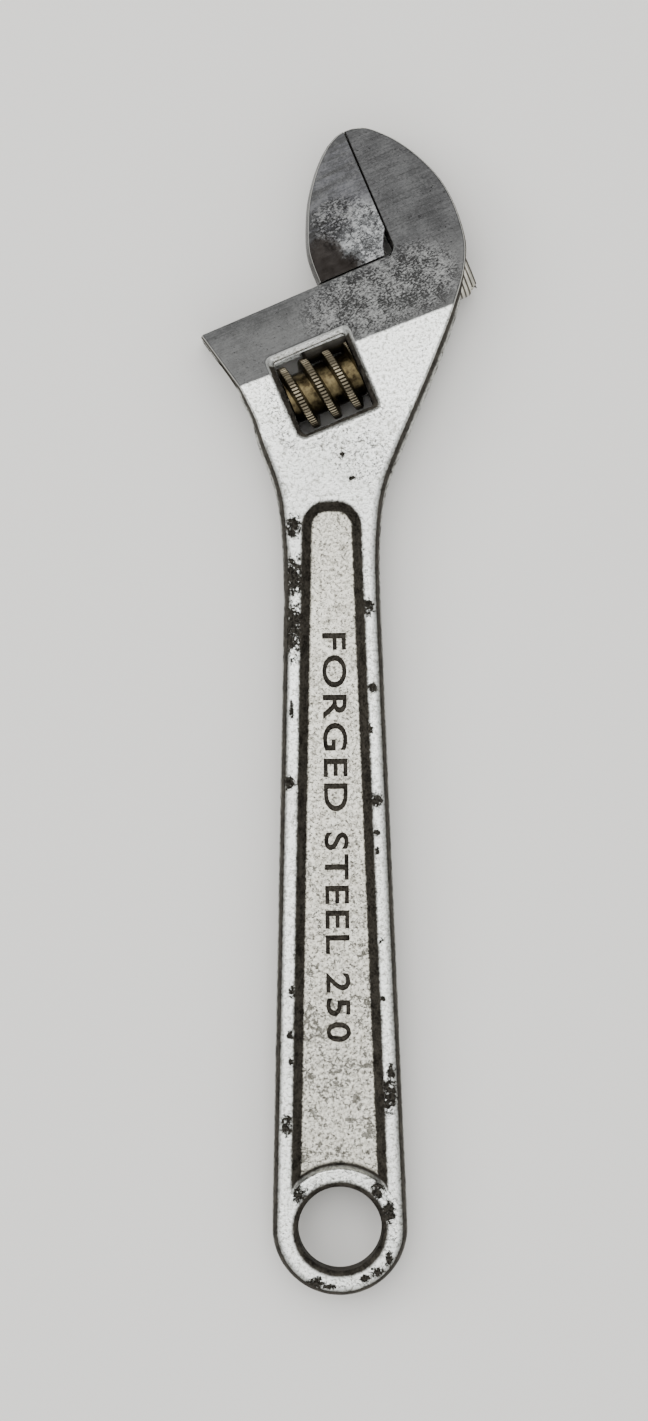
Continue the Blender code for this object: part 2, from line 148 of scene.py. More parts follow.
class WrenchJawSettings(bpy.types.PropertyGroup):
    """The movable jaw"""

    edge_radius: bpy.props.FloatProperty(
        name="Edge radius",
        description="Rounding of the jaw's edges",
        default=0.25 * MM,
        unit="LENGTH",
    )
    # Kept dark to paint in the dark reflection that the jaw's ground steel shows when seen from above, over its
    # own grey
    ground: bpy.props.FloatVectorProperty(
        name="Ground face",
        description="Ground steel of the jaw",
        default=linear("#363636"),
        **COLOUR,
    )


class WrenchWormSettings(bpy.types.PropertyGroup):
    """The knurl"""

    pitch: bpy.props.FloatProperty(
        name="Pitch",
        description="Advance of the thread in one turn",
        default=5.08 * MM,
        unit="LENGTH",
    )
    radius: bpy.props.FloatProperty(
        name="Radius",
        description="Outer radius of the thread",
        default=7.6 * MM,
        unit="LENGTH",
    )
    root_radius: bpy.props.FloatProperty(
        name="Root radius",
        description="Radius between the threads",
        default=5.2 * MM,
        unit="LENGTH",
    )
    crest: bpy.props.FloatProperty(
        name="Crest",
        description="Width of the thread's knurled crest",
        default=1.55 * MM,
        unit="LENGTH",
    )
    flutes: bpy.props.IntProperty(
        name="Flutes",
        description="Knurling grooves in one turn of the crest",
        default=60,
    )
    flute_depth: bpy.props.FloatProperty(
        name="Flute depth",
        description="Depth of a knurling groove",
        default=0.26 * MM,
        unit="LENGTH",
    )
    patina: bpy.props.FloatVectorProperty(
        name="Patina",
        description="Brassy patina of the knurl's root",
        default=linear("#5E543C"),
        **COLOUR,
    )


class WrenchPinSettings(bpy.types.PropertyGroup):
    """The pin and the spring"""

    thread_pitch: bpy.props.FloatProperty(
        name="Thread pitch",
        description="Advance of the pin's own thread in one turn",
        default=0.8 * MM,
        unit="LENGTH",
    )
    wire: bpy.props.FloatProperty(
        name="Wire",
        description="Thickness of the spring's wire",
        default=0.7 * MM,
        unit="LENGTH",
    )
    turns: bpy.props.FloatProperty(name="Turns", description="Turns of the spring", default=3.5)


class WrenchStageSettings(bpy.types.PropertyGroup):
    """The floor, the lights and the camera"""

    floor: bpy.props.FloatVectorProperty(
        name="Floor",
        description="Colour of the floor",
        default=linear("#D8D6D2"),
        **COLOUR,
    )
    camera_distance: bpy.props.FloatProperty(
        name="Camera distance",
        description="Height of the camera above the wrench",
        default=1.0,
        unit="LENGTH",
    )
    view_height: bpy.props.FloatProperty(
        name="View height",
        description="Length that the view takes in",
        default=309.9 * MM,
        unit="LENGTH",
    )
    view_turn: bpy.props.FloatProperty(
        name="View turn",
        description="Turn of the view about its axis",
        default=math.radians(-0.7),
        subtype="ANGLE",
    )


# ---------------------------------------------------------------- materials


def add_node(tree, kind, *inputs, **settings):
    """Adds a shader node and returns its first open output. Inputs are filled in order, or by name.

    An input is a value or a socket to link, and None leaves it. A name in capitals is an input's,
    and any other is a setting's.
    """
    node = tree.nodes.new("ShaderNode" + kind)
    named = {name.replace("_", " "): value for name, value in settings.items() if name[0].isupper()}
    for name, value in settings.items():
        if not name[0].isupper():
            setattr(node, name, value)
    pairs = list(zip([socket for socket in node.inputs if socket.enabled], inputs))
    pairs += [(node.inputs[name], value) for name, value in named.items()]
    for socket, value in pairs:
        if isinstance(value, bpy.types.NodeSocket):
            tree.links.new(value, socket)
        elif value is not None:
            socket.default_value = value
    return next(socket for socket in node.outputs if socket.enabled)


SMOOTH = {"interpolation_type": "SMOOTHSTEP"}
PLUS, LESS, TIMES, OVER = [{"operation": name} for name in ("ADD", "SUBTRACT", "MULTIPLY", "DIVIDE")]
SCALED = {"operation": "MULTIPLY_ADD"}  # first input by the second, plus the third
MOST, LEAST = {"operation": "MAXIMUM"}, {"operation": "MINIMUM"}
SIZE = {"operation": "ABSOLUTE"}
BLEND = {"data_type": "RGBA"}


def new_metal(name, origin, turn=0.0):
    """A metal, a function that adds its nodes, and its coordinates as place_of gives them."""
    made = bpy.data.materials.new(name)
    made.use_nodes = True
    add = partial(add_node, made.node_tree)
    made.node_tree.nodes["Principled BSDF"].inputs["Metallic"].default_value = 1.0
    return made, add, place_of(add, origin, turn)


def place_of(add, origin, turn=0.0):
    """Object coordinates in mm from an origin, turned about Z: the vector, then its x, y and z."""
    source = add("TexCoord").node.outputs["Object"]
    vector = add("Mapping", source, origin, (0, 0, turn), (MM, MM, MM), vector_type="TEXTURE")
    return vector, *add("SeparateXYZ", vector).node.outputs


def give(made, **looks):
    """Links a material's patterns to its shader."""
    shader = made.node_tree.nodes["Principled BSDF"]
    for name, value in looks.items():
        made.node_tree.links.new(value, shader.inputs[name.replace("_", " ")])


def inside_ovals(add, x, y, ovals, ragged, soft=0.15):
    """1 inside any of the (x, y, half width, half height) ovals in mm, with edges broken up by ragged."""
    total = None
    for centre_x, centre_y, half_x, half_y in ovals:
        across = add("Math", add("Math", x, centre_x, **LESS), half_x, **OVER)
        along = add("Math", add("Math", y, centre_y, **LESS), half_y, **OVER)
        reach = add("Math", across, across, add("Math", along, along, ragged, **SCALED), **SCALED)
        inside = add("MapRange", reach, 1 + soft, 1 - soft, **SMOOTH)
        total = inside if total is None else add("Math", total, inside, **MOST)
    return total


def relief(add, *layers):
    """A normal from (height, depth in mm) layers, one on top of another."""
    normal = None
    for height, depth in layers:
        normal = add("Bump", Height=height, Distance=depth * MM, Strength=1.0, Normal=normal)
    return normal


def belt_scratches(add, vector):
    """Scratches of a coarse belt along the slide, 0.5 mm apart: real ones, at 0.1 mm, wouldn't show."""
    fine = add("TexNoise", add("Mapping", vector, None, None, (0.05, 1, 1)), 1.9, 3, 0.7)
    broad = add("TexNoise", add("Mapping", vector, (3, 7, 1), None, (0.08, 1, 1)), 0.55, 3, 0.6)
    return add("Math", fine, 0.6, add("Math", broad, 0.4, **TIMES), **SCALED)


def ground_steel(add, vector, etched, light, dark):
    """Belt-ground steel: colour, roughness and height. etched is how pitted each place is."""
    scratches = belt_scratches(add, vector)
    cloud = add("TexNoise", vector, 0.12, 4, 0.6)
    tone = add("Math", cloud, 0.4, scratches, **SCALED)
    steel = add("Mix", add("MapRange", tone, 0.6, 0.82), dark, light, **BLEND)
    flecks = add("TexNoise", add("Mapping", vector, None, None, (0.6, 1, 1)), 2.8, 6, 0.8)
    patchy = add("TexNoise", add("Mapping", vector, (4, 4, 4)), 0.3, 4, 0.6)
    flecks = add("Math", patchy, 0.35, add("Math", flecks, 0.8, **TIMES), **SCALED)
    pits = add("Math", add("MapRange", flecks, 0.58, 0.46, **SMOOTH), etched, **TIMES)
    bright = add("Math", add("MapRange", flecks, 0.54, 0.7, **SMOOTH), etched, **TIMES)
    colour = add("Mix", add("Math", bright, 0.7, **TIMES), steel, linear("#828280"), **BLEND)
    colour = add("Mix", add("Math", pits, 0.6, **TIMES), colour, linear("#2B2926"), **BLEND)
    roughness = add("Math", pits, 0.15, add("MapRange", scratches, 0.35, 0.65, 0.34, 0.46), **SCALED)
    return colour, roughness, add("Math", scratches, pits, **LESS)


def plated_forging(settings):
    """Satin chrome on a blasted steel forging: bright and soft, its grain drawn 0.6 mm wide to show.

    The plate is gone in patches on the rims, painted shade with some soiling darkens the channel's walls
    and the forged sides, and the head is ground to bare steel, with painted highlights along its edges.
    """
    made, add, (vector, x, y, z) = new_metal("satin_chrome_forging", RING_CENTRE)
    head_vector, u, v, _ = place_of(add, HEAD_CORNER, HEAD_ANGLE)
    depth = add("Math", z, **SIZE)
    width = add("Math", x, **SIZE)

    # Half the forging's thickness along the handle, and how far below its top face a place lies
    half = add("MapRange", y, 0, 137, 5.0, 5.5)
    half = add("Math", half, add("MapRange", y, 137, 181, 0, 2.3, **SMOOTH), **PLUS)
    below = add("Math", half, depth, **LESS)

    # Distance outside the channel's floor, which has a rounded upper end and stops at the ring's collar
    across = add("Math", width, add("Math", y, -CHANNEL_TAPER, CHANNEL_HALF, **SCALED), **LESS)
    along = add("Math", y, CHANNEL_END, **LESS)
    corner = add("CombineXYZ", add("Math", across, 0.0, **MOST), add("Math", along, 0.0, **MOST), 0.0)
    corner = add("VectorMath", corner, operation="LENGTH").node.outputs["Value"]
    inner = add("Math", add("Math", across, along, **MOST), 0.0, **LEAST)
    beyond = add("Math", add("Math", corner, inner, **PLUS), CHANNEL_CORNER, **LESS)
    ragged = add("TexNoise", add("Mapping", vector, (1, 2, 3)), 0.9, 6, 0.8)
    ragged = add("Math", ragged, 9.0, -4.5, **SCALED)
    uneven = add("Math", ragged, 0.13, beyond, **SCALED)
    flat = add("CombineXYZ", x, y, 0.0)
    from_ring = add("VectorMath", flat, operation="LENGTH").node.outputs["Value"]
    past_collar = add("MapRange", from_ring, 14.1, 14.4, **SMOOTH)
    above_ring = add("MapRange", y, 4.0, 6.0, **SMOOTH)
    floor = add("Math", add("MapRange", beyond, 0.1, -0.15, **SMOOTH), past_collar, **TIMES)
    floor = add("Math", floor, add("Math", above_ring, add("MapRange", below, 1.2, 1.6), **TIMES), **TIMES)
    # Painted shade, with some grime, on the channel's walls
    wall = add("MapRange", uneven, 2.5, 1.75, **SMOOTH)
    wall = add("Math", add("MapRange", uneven, -0.4, 0.05, **SMOOTH), wall, **TIMES)
    wall = add("Math", add("Math", wall, above_ring, **TIMES), add("MapRange", from_ring, 13, 14), **TIMES)
    # Painted shade on the slope of the ring's collar
    collar = add("MapRange", from_ring, 14.9, 14.2)
    collar = add("Math", add("MapRange", from_ring, 13.3, 13.9), collar, **TIMES)
    collar = add("Math", collar, add("MapRange", beyond, 1.9, 0.5), **TIMES)
    wall = add("Math", wall, add("Math", collar, above_ring, **TIMES), **MOST)

    grain = add("TexNoise", vector, 1.4, 3, 0.7)
    cloud = add("TexNoise", vector, 0.07, 4, 0.6)
    speck = add("TexNoise", add("Mapping", vector, (5, 1, 9)), 1.8, 5, 0.75)
    blotch = add("TexNoise", add("Mapping", vector, (2, 8, 3)), 0.42, 5, 0.7)
    clusters = add("Math", blotch, 0.5, add("Math", speck, 0.5, **TIMES), **SCALED)

    plate = add("Mix", add("MapRange", cloud, 0.35, 0.7), settings.plate, linear("#E0E1DB"), **BLEND)
    plate = add("Mix", add("MapRange", grain, 0.52, 0.36, 0, 0.9), plate, linear("#93928A"), **BLEND)
    warm = add("Mix", add("MapRange", blotch, 0.35, 0.65), linear("#DAD7CB"), linear("#C8C4B6"), **BLEND)
    warm = add("Mix", add("MapRange", grain, 0.54, 0.38, 0, 0.85), warm, linear("#87847A"), **BLEND)
    colour = add("Mix", floor, plate, warm, **BLEND)

    # Pits: clusters on the channel's floor, thicker towards the ring, and pepper on the rims and
    # below the window
    crowd = add("MapRange", y, 130, 30, 0.38, 0.452, **SMOOTH)
    floor_pits = add("MapRange", add("Math", clusters, crowd, **LESS), 0.02, -0.03, **SMOOTH)
    floor_pits = add("Math", floor_pits, floor, **TIMES)
    below_window = [(-25, -30.5, 11, 3.2), (-24, -37, 7, 7), (-37, -24, 3, 9)]
    rough_zone = inside_ovals(add, u, v, below_window, 0.0, 0.5)
    rough_ring = inside_ovals(add, x, y, [(11.5, -1.0, 3.2, 10.0), (3.0, -12.5, 9.0, 2.5)], 0.0, 0.5)
    rough_rim = add("Math", add("MapRange", beyond, 3.2, 1.9), above_ring, **TIMES)
    rough = add("Math", add("Math", rough_zone, rough_ring, **MOST), rough_rim, **MOST)
    pepper = add("Math", rough, 0.065, add("Math", blotch, 0.12, 0.29, **SCALED), **SCALED)
    rim_pits = add("MapRange", add("Math", speck, pepper, **LESS), 0.015, -0.015, **SMOOTH)
    pits = add("Math", floor_pits, add("Math", rim_pits, 0.9, **TIMES), **MOST)
    colour = add("Mix", add("Math", pits, 0.72, **TIMES), colour, linear("#4C483F"), **BLEND)

    # Patches where the plate is gone, and two of painted shade in the channel's corners by the ring
    patch = inside_ovals(add, x, y, PLATE_LOSS_AND_CORNER_SHADE, ragged)
    patch = add("Math", patch, add("MapRange", floor, 0.9, 0.1), **TIMES)
    bare = add("Mix", add("MapRange", speck, 0.42, 0.58), settings.bare, linear("#4A4741"), **BLEND)
    colour = add("Mix", patch, colour, bare, **BLEND)

    # Painted shade, with some grime: in the channel's walls, on the forged sides, in the hole and round the
    # window; the stamped letters are darkened too
    # Painted shade and dark reflection on the forged sides, partly grime; it thins at random where clean is high
    outside = add("Math", add("MapRange", beyond, 1.7, 2.2), add("MapRange", above_ring, 1, 0), **MOST)
    sides = add("MapRange", add("Math", ragged, -0.06, below, **SCALED), 0.1, 0.8, **SMOOTH)
    sides = add("Math", sides, outside, **TIMES)
    clean = add("Math", add("MapRange", clusters, 0.43, 0.53), add("MapRange", below, 2.6, 4.2), **TIMES)
    sides = add("Math", sides, add("MapRange", clean, 0, 1, 1, 0.25), **TIMES)
    # Painted shade round the edge of the hanging hole
    bore = add("MapRange", add("Math", ragged, 0.08, from_ring, **SCALED), 10.9, 10.0, **SMOOTH)
    sides = add("Math", sides, bore, **MOST)
    # Painted shade on the window's walls and lip, left off its lit upper sill
    bright_sill = inside_ovals(add, u, v, [(-CORNER_U, -11.0, 9.8, 2.4)], 0.0)
    sides_of_window = add("Math", add("Math", u, CORNER_U, **PLUS), **SIZE)
    ends_of_window = add("Math", add("Math", v, 20.0, **PLUS), **SIZE)
    window = add("MapRange", add("Math", sides_of_window, ends_of_window, **MOST), 10.4, 10.0)
    lip = add("MapRange", add("Math", ragged, 0.1, below, **SCALED), 0.1, 0.4)
    window = add("Math", window, lip, **TIMES)
    window = add("Math", window, add("MapRange", u, -17.4, -16.8, 1.0, 0.75), **TIMES)
    foot = add("MapRange", v, -28.0, -28.6, 0, 0.5)
    foot = add("Math", foot, add("MapRange", below, 1.6, 1.0), **TIMES)
    window = add("Math", window, foot, **LESS, use_clamp=True)
    sides = add("Math", sides, window, **MOST)
    sides = add("Math", sides, add("MapRange", bright_sill, 1, 0), **TIMES)
    shade_and_grime = add("Math", wall, sides, **MOST)
    # One dark tone for the painted shade, the grime and the stamped letters
    shade_and_grime_tone = add("Mix", add("MapRange", clusters, 0.4, 0.58), linear("#23201C"), linear("#504C45"), **BLEND)
    colour = add("Mix", shade_and_grime, colour, shade_and_grime_tone, **BLEND)
    cut = add("Math", add("Math", y, FLOOR_RISE, FLOOR_HEIGHT, **SCALED), depth, **LESS)
    stamped = add("Math", add("MapRange", cut, 0.06, 0.2, **SMOOTH), floor, **TIMES)
    colour = add("Mix", stamped, colour, shade_and_grime_tone, **BLEND)

    # The ground faces of the head, with a painted highlight along their edges that also stands for edges worn
    # bright
    zones = [(-9.5, -7, 14, 7.5), (2, -7, 8.5, 7)]
    mottle = inside_ovals(add, u, v, zones, add("Math", ragged, 0.15, **TIMES), 0.9)
    etched = add("Math", mottle, 0.14, **MOST)
    steel = ground_steel(add, head_vector, etched, linear("#444444"), settings.ground)
    handled = add("Mix", add("MapRange", v, 1, -6, 0, 0.25), steel[0], linear("#686866"), **BLEND)
    edge = add("Math", add("Math", u, 0.036, v, **SCALED), add("Math", ragged, 0.07, **TIMES), **PLUS)
    ground = add("Math", add("MapRange", edge, -15.3, -14.8), add("MapRange", depth, 7.35, 7.6), **TIMES)
    colour = add("Mix", ground, colour, handled, **BLEND)
    # Painted highlight on the head's rounded top edges, with edges worn bright
    edge_highlight_and_wear = add("Math", add("MapRange", depth, 7.74, 7.66), add("MapRange", depth, 7.3, 7.5), **TIMES)
    edge_highlight_and_wear = add("Math", edge_highlight_and_wear, add("MapRange", edge, -15.3, -14.8), **TIMES)
    colour = add("Mix", edge_highlight_and_wear, colour, linear("#B4B4B0"), **BLEND)

    # Rougher where the plate is gone, in the painted shade and grime, and in the letters
    loss_grime_and_shade = add("Math", add("Math", patch, shade_and_grime, **MOST), stamped, **MOST)
    roughness = add("MapRange", grain, 0.3, 0.7, 0.36, 0.28)
    roughness = add("Math", floor, 0.1, add("Math", pits, 0.2, roughness, **SCALED), **SCALED)
    roughness = add("Mix", ground, add("Mix", loss_grime_and_shade, roughness, 0.85), steel[1])
    smooth = add("MapRange", ground, 0, 1, 1, 0)
    hollow = add("MapRange", add("Math", pits, add("Math", patch, 0.6, **TIMES), **MOST), 0, 1, 1, 0)
    normal = relief(
        add,
        (add("Math", grain, smooth, **TIMES), 0.14),
        (hollow, 0.1),
        (add("Math", steel[2], ground, **TIMES), 0.06),
    )
    give(made, Base_Color=colour, Roughness=roughness, Normal=normal)
    return made


# Where the plate is gone, and two patches of painted shade in the channel's corners by the ring, in mm from the
# hanging hole: x, y, half width and half height
PLATE_LOSS_AND_CORNER_SHADE = (
    (-8.6, 141.5, 2.5, 4.0),
    (-8.9, 130.5, 2.5, 5.6),
    (-8.4, 152.6, 1.5, 2.2),
    (-9.8, 97.0, 1.1, 1.4),
    (-9.2, 113.0, 0.6, 1.7),
    (7.6, 135.0, 1.3, 1.6),
    (8.3, 117.5, 1.0, 1.1),
    (8.9, 93.0, 1.5, 1.6),
    (10.9, 29.0, 2.2, 3.3),
    (11.6, 34.0, 0.9, 1.6),
    (-11.2, 22.5, 1.3, 2.2),
    (10.0, 50.0, 0.5, 0.5),
    (7.9, 108.5, 0.6, 1.1),
    (8.9, 86.0, 0.7, 0.9),
    (9.1, 82.0, 0.5, 0.8),
    (9.6, 62.5, 0.5, 0.6),
    (-9.6, 51.6, 1.0, 1.3),
    (-10.2, 42.3, 0.8, 0.9),
    (-10.2, 36.6, 0.6, 0.7),
    (-5.4, -11.6, 1.9, 1.3),
    (5.4, -10.9, 1.3, 0.9),
    (8.0, -9.4, 1.5, 1.1),
    (10.6, -6.4, 0.9, 1.5),
    (-2.5, -12.4, 1.5, 0.6),
    (10.6, 3.6, 1.3, 2.2),
    # Painted shade: the channel's corners where its walls meet the ring's collar
    (-8.6, 7.8, 1.4, 1.6),
    (8.2, 8.4, 1.4, 1.7),
    (2.6, 168.0, 0.5, 0.6),
    (4.8, 163.0, 0.8, 0.5),
)


def ground_jaw(settings):
    """Tool steel ground on its faces: dull grey scratches, a bright etched patch, a dark patch and painted
    highlights along its edges.
    """
    made, add, (vector, u, v, z) = new_metal("ground_tool_steel", HEAD_CORNER, HEAD_ANGLE)
    depth = add("Math", z, **SIZE)
    ragged = add("Math", add("TexNoise", vector, 0.8, 6, 0.75), 4.0, -2.0, **SCALED)
    ovals = [(-3.0, 5.5, 4.4, 7.0), (-6.8, 4.0, 4.4, 4.6)]
    bright = inside_ovals(add, u, v, ovals, add("Math", ragged, 0.6, **TIMES), 0.8)
    pitted = inside_ovals(add, u, v, [(-8.5, 10.0, 7.0, 6.0)], add("Math", ragged, 0.5, **TIMES), 0.8)
    shade = add("TexNoise", vector, 0.25, 4, 0.6)
    etched = add("Math", add("Math", bright, add("Math", pitted, 0.8, **TIMES), **MOST), 0.2, **MOST)
    steel = ground_steel(add, vector, etched, linear("#48484A"), settings.ground)
    bright_flecks = add("Math", bright, add("MapRange", ragged, -0.5, 0.3, 0.1, 0.75), **TIMES)
    colour = add("Mix", bright_flecks, steel[0], linear("#8C8D8D"), **BLEND)
    # A dark patch on the jaw's face
    ovals = [(-14.6, 3.6, 4.2, 6.0), (-11.6, 1.0, 3.6, 3.0)]
    dark_patches = inside_ovals(add, u, v, ovals, add("Math", ragged, 0.6, **TIMES), 0.5)
    dark_patch_tone = add("Mix", add("MapRange", shade, 0.35, 0.65), linear("#1F1C1A"), linear("#302D2B"), **BLEND)
    colour = add("Mix", dark_patches, colour, dark_patch_tone, **BLEND)
    # Painted highlight on the jaw's rounded top edges, with edges worn bright
    edge_highlight_and_wear = add("Math", add("MapRange", depth, 7.64, 7.56), add("MapRange", depth, 7.25, 7.4), **TIMES)
    colour = add("Mix", edge_highlight_and_wear, colour, linear("#B4B4B0"), **BLEND)

    # The rack bar: darker along its length, with bright rings at its end that are turning marks and painted
    # highlights
    bar = add("MapRange", v, -0.2, -0.8)
    colour = add("Mix", add("Math", bar, 0.75, **TIMES), colour, linear("#4A4740"), **BLEND)
    # Bright rings at the bar's end: turning marks and painted highlights
    rings = add("TexWave", add("CombineXYZ", u, 0.0, 0.0), 0.33, 0.0, bands_direction="X")
    turned = add("Mix", add("MapRange", rings, 0.2, 0.55), linear("#4A4740"), linear("#B9B6AB"), **BLEND)
    colour = add("Mix", add("Math", bar, add("MapRange", u, 8.6, 9.4), **TIMES), colour, turned, **BLEND)
    roughness = add("Math", dark_patches, 0.12, steel[1], **SCALED)
    give(made, Base_Color=colour, Roughness=roughness, Normal=relief(add, (steel[2], 0.06)))
    return made


def browned_knurl(settings):
    """Turned steel with a brown-yellow patina: dark flanks, brassy roots and crests rubbed grey."""
    made, add, (vector, _, y, z) = new_metal("browned_turned_steel", WORM_CENTRE, HEAD_ANGLE)
    radius = add("Math", add("Math", y, y, add("Math", z, z, **TIMES), **SCALED), operation="SQRT")
    blotch = add("TexNoise", vector, 0.45, 4, 0.65)
    streaks = add("TexNoise", add("Mapping", vector, None, None, (1, 0.1, 0.1)), 2.4, 3, 0.6)
    root = add("Mix", add("MapRange", blotch, 0.4, 0.62), linear("#2A2317"), settings.patina, **BLEND)
    flank = add("Mix", add("MapRange", streaks, 0.35, 0.65), linear("#2E2719"), linear("#6B5E40"), **BLEND)
    colour = add("Mix", add("MapRange", radius, 5.25, 5.7, **SMOOTH), root, flank, **BLEND)
    rubbed = add("Mix", add("MapRange", blotch, 0.3, 0.7), linear("#7A7261"), linear("#4B4539"), **BLEND)
    crest = add("Mix", add("MapRange", radius, 7.34, 7.52), linear("#35301F"), rubbed, **BLEND)
    colour = add("Mix", add("MapRange", radius, 7.14, 7.24), colour, crest, **BLEND)
    roughness = add("MapRange", blotch, 0.3, 0.7, 0.24, 0.42)
    give(made, Base_Color=colour, Roughness=roughness, Normal=relief(add, (streaks, 0.05)))
    return made


def blackened_screw():
    """Oil-blackened steel: near black, worn to grey in fine patches."""
    made, add, (vector, *_) = new_metal("oil_blackened_steel", WORM_CENTRE, HEAD_ANGLE)
    wear = add("TexNoise", vector, 1.1, 5, 0.7)
    colour = add("Mix", add("MapRange", wear, 0.5, 0.7), linear("#3A3733"), linear("#8B8880"), **BLEND)
    roughness = add("MapRange", wear, 0.4, 0.7, 0.5, 0.34)
    give(made, Base_Color=colour, Roughness=roughness, Normal=relief(add, (wear, 0.03)))
    return made


def drawn_wire():
    """Drawn spring wire: bright grey, stained by oil."""
    made, add, (vector, *_) = new_metal("drawn_spring_wire", WORM_CENTRE, HEAD_ANGLE)
    dark_patches = add("TexNoise", vector, 0.7, 4, 0.6)
    colour = add("Mix", add("MapRange", dark_patches, 0.4, 0.7), linear("#A9A8A2"), linear("#6F6A5C"), **BLEND)
    roughness = add("MapRange", dark_patches, 0.3, 0.7, 0.25, 0.42)
    give(made, Base_Color=colour, Roughness=roughness, Normal=relief(add, (dark_patches, 0.01)))
    return made


# ---------------------------------------------------------------- modelling helpers


def only(*pieces):
    """Selects these pieces alone, the last one active."""
    if bpy.context.object and bpy.context.object.mode != "OBJECT":
        bpy.ops.object.mode_set(mode="OBJECT")
    bpy.ops.object.select_all(action="DESELECT")
    for piece in pieces:
        piece.select_set(True)
    bpy.context.view_layer.objects.active = pieces[-1]


def copy_of_node(node, name):
    """The CAD node's shape as a new piece: its loose triangles merged, and its flat faces made whole."""
    piece = bpy.data.objects.new(name, frame["nodes"][node].data.copy())
    bpy.context.scene.collection.objects.link(piece)
    piece.data.materials.clear()
    only(piece)
    bpy.ops.object.mode_set(mode="EDIT")
    bpy.ops.mesh.select_all(action="SELECT")
    bpy.ops.mesh.remove_doubles(threshold=0.002 * MM)
    bpy.ops.mesh.customdata_custom_splitnormals_clear()
    bpy.ops.mesh.dissolve_limited(angle_limit=math.radians(0.4), use_dissolve_boundaries=False)
    bpy.ops.object.mode_set(mode="OBJECT")
    return piece


def choose(piece, kind, wanted):
    """In edit mode, selects the VERT, EDGE or FACE elements for which wanted is true."""
    bpy.ops.mesh.select_mode(type=kind)
    bpy.ops.mesh.select_all(action="DESELECT")
    shape = bmesh.from_edit_mesh(piece.data)
    elements = {"VERT": shape.verts, "EDGE": shape.edges, "FACE": shape.faces}[kind]
    for element in elements:
        if wanted(element):
            element.select_set(True)
    shape.select_flush_mode()
    bmesh.update_edit_mesh(piece.data)


def round_edges(piece, radius, share=lambda edge: 1.0, angle=25, segments=4, clamp=True):
    """Rounds the edges sharper than angle, each to its share of the radius."""
    shape = bmesh.new()
    shape.from_mesh(piece.data)
    weight = shape.edges.layers.float.new("bevel_weight_edge")
    for edge in shape.edges:
        if len(edge.link_faces) == 2 and edge.calc_face_angle(0) > math.radians(angle):
            edge[weight] = share(edge)
    shape.to_mesh(piece.data)
    shape.free()
    sizes = {"width": radius, "segments": segments}
    add_modifier(piece, "BEVEL", **sizes, limit_method="WEIGHT", use_clamp_overlap=clamp)


def add_modifier(piece, kind, **settings):
    """Adds a modifier with its settings and applies it."""
    only(piece)
    bpy.ops.object.modifier_add(type=kind)
    modifier = piece.modifiers[-1]
    for name, value in settings.items():
        setattr(modifier, name, value)
    bpy.ops.object.modifier_apply(modifier=modifier.name)


def start_from(primitive, name, place, turn=(0, 0, 0), scale=(1, 1, 1), **sizes):
    """Adds a primitive of bpy.ops.mesh at its size and place, and names it."""
    bpy.ops.object.select_all(action="DESELECT")
    getattr(bpy.ops.mesh, "primitive_" + primitive + "_add")(location=place, rotation=turn, **sizes)
    piece = bpy.context.object
    piece.name = name
    piece.scale = scale
    settle(piece)
    return piece


def edit(piece):
    only(piece)
    bpy.ops.object.mode_set(mode="EDIT")


def leave():
    bpy.ops.object.mode_set(mode="OBJECT")


def merge(piece, distance):
    """Makes points that lie closer than distance one, and drops what collapses."""
    edit(piece)
    bpy.ops.mesh.select_all(action="SELECT")
    bpy.ops.mesh.remove_doubles(threshold=distance)
    bpy.ops.mesh.dissolve_degenerate(threshold=distance)
    leave()


def cut(piece, operation, tool):
    """Joins or cuts with a tool, which is then removed."""
    add_modifier(piece, "BOOLEAN", operation=operation, object=tool)
    bpy.data.objects.remove(tool)


def finish_surface(piece, look, angle=38):
    """Smooth shading that keeps flat faces flat, and the piece's material."""
    only(piece)
    bpy.ops.object.shade_smooth_by_angle(angle=math.radians(angle))
    add_modifier(piece, "WEIGHTED_NORMAL", keep_sharp=True)
    piece.data.materials.clear()
    piece.data.materials.append(look)


def hand_over(piece, body, node):
    """The piece rides on a body in the place of its CAD node."""
    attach(piece, body)
    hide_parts(node)


def settle(piece):
    """Leaves the piece's object at the origin, with its place in its mesh."""
    only(piece)
    bpy.ops.object.transform_apply(location=True, rotation=True, scale=True)


# ---------------------------------------------------------------- operators


class WRENCH_OT_body(bpy.types.Operator):
    """Rounds the forging's edges, stamps its mark and gives it its worn plate"""

    bl_idname = "wrench.body"
    bl_label = "Forged body"

    def execute(self, context):
        settings = context.scene.wrench_body
        body = copy_of_node("wrench_body", "forged_body")
        round_edges(body, settings.edge_radius, share_of_forging, clamp=False)
        cut(body, "DIFFERENCE", stamp(settings))
        finish_surface(body, plated_forging(settings))
        hand_over(body, "frame", "wrench_body")
        return {"FINISHED"}


def on_head(edge):
    """The middle of an edge in the head's directions u and v, in mm from the corner of its fixed jaw."""
    middle = (edge.verts[0].co + edge.verts[1].co) / 2 - HEAD_CORNER
    return Vector((middle.dot(U), middle.dot(V))) / MM


def share_of_jaw(edge):
    """The blade's edges are rounded in full, its gripping face's less, and the rack's teeth stay sharp."""
    place = on_head(edge)
    if place.y > 0.4:
        return 0.4 if place.x > -0.9 else 1
    return 0.8 if place.x > 12.8 else 0


